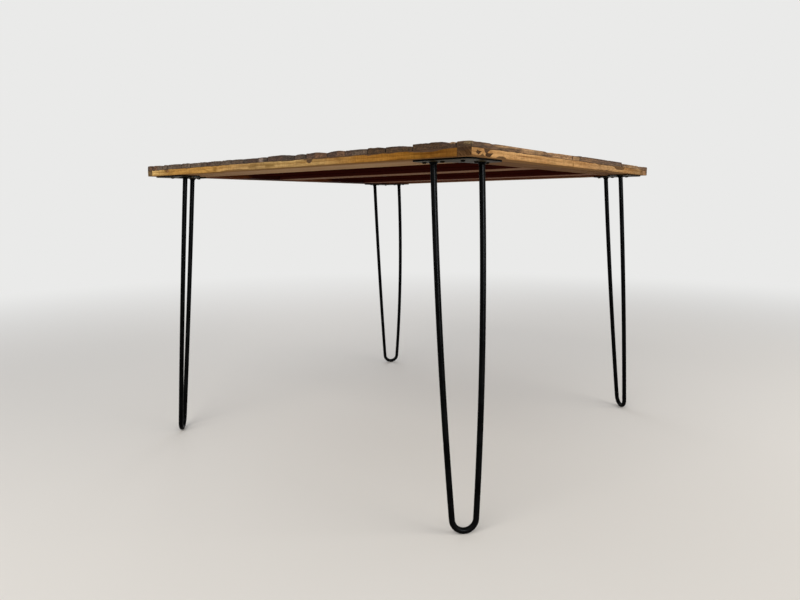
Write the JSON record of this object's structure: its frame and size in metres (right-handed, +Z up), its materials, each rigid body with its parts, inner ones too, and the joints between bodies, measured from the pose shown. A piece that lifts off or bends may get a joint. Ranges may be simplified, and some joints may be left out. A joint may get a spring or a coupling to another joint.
{
  "type": "dining table",
  "caption": "Square dining table: uneven rows of reclaimed boards over honey-coloured edge strips and a battened panel, on black bent-rod hairpin legs screwed on by boomerang plates.",
  "frame": {"origin": "on the floor under the middle of the top", "axes": "+Z up, +X along the boards of the top towards the right edge, +Y across the boards towards the back edge"},
  "size_m": [1.002, 1.006, 0.7387],
  "materials": {
    "weathered_boards": "weathered reclaimed boards, grey to red-brown, worn edges",
    "honey_edge": "sawn honey-coloured softwood, waxed, with knots",
    "pale_frame": "bare sanded softwood underside, stained dark red-brown at the sides",
    "brown_frame": "stained orange-brown softwood",
    "red_brown_panel": "dark red-brown stained panel",
    "black_steel": "satin black powder coat",
    "black_screws": "black oxide"
  },
  "bodies": {
    "root": {"front_left_plate": "black_steel", "front_left_hairpin": "black_steel", "front_left_weld_beads": "black_steel", "front_left_screws": "black_screws", "front_right_plate": "black_steel", "front_right_hairpin": "black_steel", "front_right_weld_beads": "black_steel", "front_right_screws": "black_screws", "back_left_plate": "black_steel", "back_left_hairpin": "black_steel", "back_left_weld_beads": "black_steel", "back_left_screws": "black_screws", "back_right_plate": "black_steel", "back_right_hairpin": "black_steel", "back_right_weld_beads": "black_steel", "back_right_screws": "black_screws", "front_edge_strip": "honey_edge", "back_edge_strip": "honey_edge", "left_edge_strip": "honey_edge", "right_edge_strip": "honey_edge", "front_rail": "pale_frame", "left_rail": "pale_frame", "back_rail": "brown_frame", "right_rail": "brown_frame", "left_batten": "pale_frame", "right_batten": "pale_frame", "base_panel": "red_brown_panel", "top_row_01": "weathered_boards", "top_row_02": "weathered_boards", "top_row_03": "weathered_boards", "top_row_04": "weathered_boards", "top_row_05": "weathered_boards", "top_row_06": "weathered_boards", "top_row_07": "weathered_boards", "top_row_08": "weathered_boards", "top_row_09": "weathered_boards", "top_row_10": "weathered_boards", "top_row_11": "weathered_boards", "top_row_12": "weathered_boards", "top_row_13": "weathered_boards", "top_row_14": "weathered_boards", "top_row_15": "weathered_boards", "top_row_16": "weathered_boards", "top_row_17": "weathered_boards", "top_row_18": "weathered_boards", "top_row_19": "weathered_boards", "top_row_20": "weathered_boards"}
  },
  "joints": []
}
